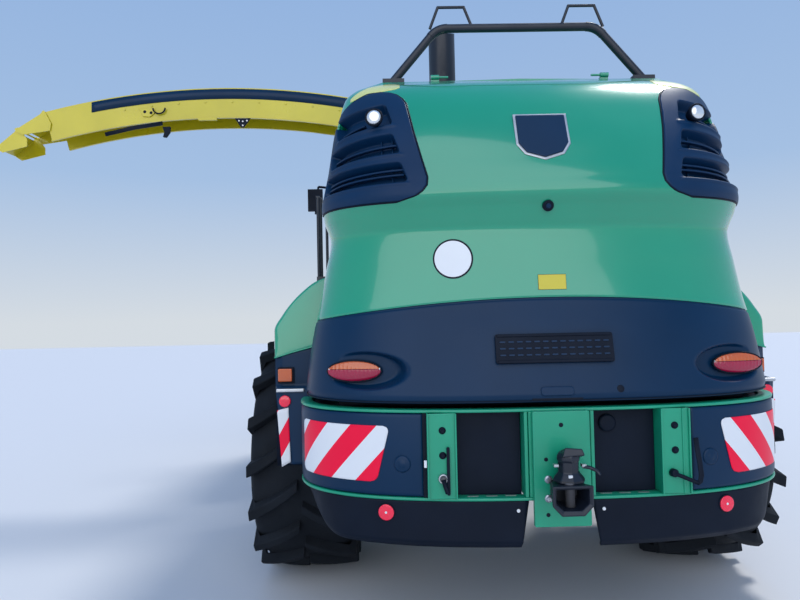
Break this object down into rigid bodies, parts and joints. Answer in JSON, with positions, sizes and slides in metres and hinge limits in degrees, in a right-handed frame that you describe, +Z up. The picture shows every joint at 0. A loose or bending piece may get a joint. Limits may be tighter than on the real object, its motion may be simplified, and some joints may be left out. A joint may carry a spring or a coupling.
{
  "type": "self-propelled forage harvester",
  "caption": "Self-propelled forage harvester with a swinging spout, rounded rear hood with side grilles, rear bumper with tow hitch, cab and header feeder.",
  "frame": {"origin": "middle of the tow hitch's pin, at the rear of the machine", "axes": "+X forward along the machine, +Y to its left, +Z up along the hitch pin"},
  "size_m": [6.726, 6.7716, 4.2373],
  "materials": {
    "green_paint": "gloss",
    "dark_panel": "satin",
    "black_paint": "satin",
    "black_plastic": "matte",
    "yellow_paint": "gloss",
    "bare_steel": "satin",
    "cast_grey": "matte",
    "tyre_rubber": "matte",
    "lamp_red": "gloss",
    "window_glass": "gloss",
    "seat_fabric": "matte"
  },
  "bodies": {
    "machine": {"chassis_frame": "black_paint", "engine_block": "cast_grey", "front_axle": "green_paint", "rear_axle_beam": "black_paint", "crop_chute": "green_paint", "bumper_frame": "green_paint", "bumper_covers": "black_plastic", "hitch_plate": "green_paint", "tow_hitch": "black_paint", "fenders": "green_paint", "hood_deck": "green_paint", "spout_cradle": "black_paint", "exhaust_pipe": "black_paint", "cab_body": "dark_panel", "cab_roof": "green_paint", "cab_glass": "window_glass", "cab_seat": "seat_fabric", "wheel_platforms": "black_paint", "mirrors": "black_plastic", "fender_panels": "dark_panel", "side_lamps": "lamp_red"},
    "front_wheel_left": {"front_rim_left": "yellow_paint", "front_tyre_left": "tyre_rubber"},
    "front_wheel_right": {"front_rim_right": "yellow_paint", "front_tyre_right": "tyre_rubber"},
    "steering_left": {"knuckle_left": "black_paint"},
    "steering_right": {"knuckle_right": "black_paint"},
    "tie_rod": {"tie_rod": "bare_steel"},
    "rear_wheel_left": {"rear_rim_left": "yellow_paint", "rear_tyre_left": "tyre_rubber"},
    "rear_wheel_right": {"rear_rim_right": "yellow_paint", "rear_tyre_right": "tyre_rubber"},
    "rear_hood": {"hood_upper": "green_paint", "hood_lower": "dark_panel", "hood_grilles": "black_plastic", "tail_lamps": "lamp_red", "plate_holder": "black_plastic"},
    "side_door_left": {"side_door_left": "green_paint"},
    "side_door_right": {"side_door_right": "green_paint"},
    "cab_door": {"cab_door": "dark_panel"},
    "spout_turret": {"spout_turret": "yellow_paint"},
    "spout_arm": {"spout_arm": "yellow_paint"},
    "spout_barrel": {"spout_barrel": "black_paint"},
    "spout_rod": {"spout_rod": "bare_steel"},
    "spout_flap_inner": {"spout_flap_inner": "yellow_paint"},
    "spout_flap_outer": {"spout_flap_outer": "yellow_paint"},
    "feeder": {"feeder_house": "green_paint"},
    "feed_roll_upper": {"feed_roll_upper": "bare_steel"},
    "feed_roll_lower": {"feed_roll_lower": "bare_steel"},
    "lift_barrels": {"lift_barrels": "black_paint"},
    "lift_rods": {"lift_rods": "bare_steel"}
  },
  "joints": [
    {"name": "front_wheel_left_spin", "type": "hinge", "parent": "machine", "child": "front_wheel_left", "pos_m": [5.02, 1.24, 0.095], "axis": [0, 1, 0], "continuous": true},
    {"name": "front_wheel_right_spin", "type": "hinge", "parent": "machine", "child": "front_wheel_right", "pos_m": [5.02, -1.24, 0.095], "axis": [0, 1, 0], "continuous": true},
    {"name": "steer_left", "type": "hinge", "parent": "machine", "child": "steering_left", "pos_m": [1.82, 0.93, -0.15], "axis": [0, 0, 1], "range_deg": [-30, 30]},
    {"name": "steer_right", "type": "hinge", "parent": "machine", "child": "steering_right", "pos_m": [1.82, -0.93, -0.15], "axis": [0, 0, 1], "range_deg": [-30, 30]},
    {"name": "tie_rod_turn", "type": "hinge", "parent": "steering_left", "child": "tie_rod", "pos_m": [1.54, 0.93, -0.315], "axis": [0, 0, 1], "range_deg": [-30, 30]},
    {"name": "rear_wheel_left_spin", "type": "hinge", "parent": "steering_left", "child": "rear_wheel_left", "pos_m": [1.82, 1.3, -0.15], "axis": [0, 1, 0], "continuous": true},
    {"name": "rear_wheel_right_spin", "type": "hinge", "parent": "steering_right", "child": "rear_wheel_right", "pos_m": [1.82, -1.3, -0.15], "axis": [0, 1, 0], "continuous": true},
    {"name": "rear_hood_open", "type": "hinge", "parent": "machine", "child": "rear_hood", "pos_m": [0.744, 0, 2.082], "axis": [0, 1, 0], "range_deg": [0, 50]},
    {"name": "side_door_left_open", "type": "hinge", "parent": "machine", "child": "side_door_left", "pos_m": [2.14, 1.003, 1.843], "axis": [1, 0, 0], "range_deg": [0, 80]},
    {"name": "side_door_right_open", "type": "hinge", "parent": "machine", "child": "side_door_right", "pos_m": [2.14, -1.003, 1.843], "axis": [-1, 0, 0], "range_deg": [0, 80]},
    {"name": "cab_door_open", "type": "hinge", "parent": "machine", "child": "cab_door", "pos_m": [4.784, 0.816, 1.77], "axis": [0, 0, 1], "range_deg": [0, 75]},
    {"name": "spout_slew", "type": "hinge", "parent": "machine", "child": "spout_turret", "pos_m": [4.09, 0, 2.126], "axis": [0, 0, 1], "range_deg": [-15, 195]},
    {"name": "spout_lift", "type": "hinge", "parent": "spout_turret", "child": "spout_arm", "pos_m": [4.09, -0.1, 2.45], "axis": [1, 0, 0], "range_deg": [-6, 20]},
    {"name": "spout_barrel_tilt", "type": "hinge", "parent": "spout_turret", "child": "spout_barrel", "pos_m": [4.09, 0.36, 2.245], "axis": [1, 0, 0], "range_deg": [-8, 25]},
    {"name": "spout_rod_stroke", "type": "slide", "parent": "spout_barrel", "child": "spout_rod", "axis": [0, 0.809, 0.5878], "range_m": [-0.05, 0.165]},
    {"name": "flap_inner_tilt", "type": "hinge", "parent": "spout_arm", "child": "spout_flap_inner", "pos_m": [4.09, 4.41423, 3.03449], "axis": [1, 0, 0], "range_deg": [-12, 20]},
    {"name": "flap_outer_tilt", "type": "hinge", "parent": "spout_flap_inner", "child": "spout_flap_outer", "pos_m": [4.09, 4.69409, 2.85962], "axis": [1, 0, 0], "range_deg": [-12, 20]},
    {"name": "feeder_lift", "type": "hinge", "parent": "machine", "child": "feeder", "pos_m": [5.56, 0, 0.12], "axis": [0, -1, 0], "range_deg": [-15, 22]},
    {"name": "lift_barrels_tilt", "type": "hinge", "parent": "machine", "child": "lift_barrels", "pos_m": [5.19, 0, -0.31], "axis": [0, -1, 0], "range_deg": [-10, 14]},
    {"name": "lift_rods_stroke", "type": "slide", "parent": "lift_barrels", "child": "lift_rods", "axis": [0.9896, 0, 0.1439], "range_m": [-0.095, 0.14]},
    {"name": "feed_roll_upper_spin", "type": "hinge", "parent": "feeder", "child": "feed_roll_upper", "pos_m": [6.4, 0, 0.32], "axis": [0, 1, 0], "continuous": true},
    {"name": "feed_roll_lower_spin", "type": "hinge", "parent": "feeder", "child": "feed_roll_lower", "pos_m": [6.44, 0, -0.005], "axis": [0, 1, 0], "continuous": true}
  ],
  "couplings": [
    {"joint": "steer_right", "follows": "steer_left", "ratio": 1},
    {"joint": "tie_rod_turn", "follows": "steer_left", "ratio": -1},
    {"joint": "spout_barrel_tilt", "follows": "spout_lift", "ratio": 1.212},
    {"joint": "spout_rod_stroke", "follows": "spout_lift", "m_per_rad": 0.45775},
    {"joint": "flap_outer_tilt", "follows": "flap_inner_tilt", "ratio": 1},
    {"joint": "lift_barrels_tilt", "follows": "feeder_lift", "ratio": 0.609},
    {"joint": "lift_rods_stroke", "follows": "feeder_lift", "m_per_rad": 0.355},
    {"joint": "feed_roll_lower_spin", "follows": "feed_roll_upper_spin", "ratio": -1.25}
  ]
}
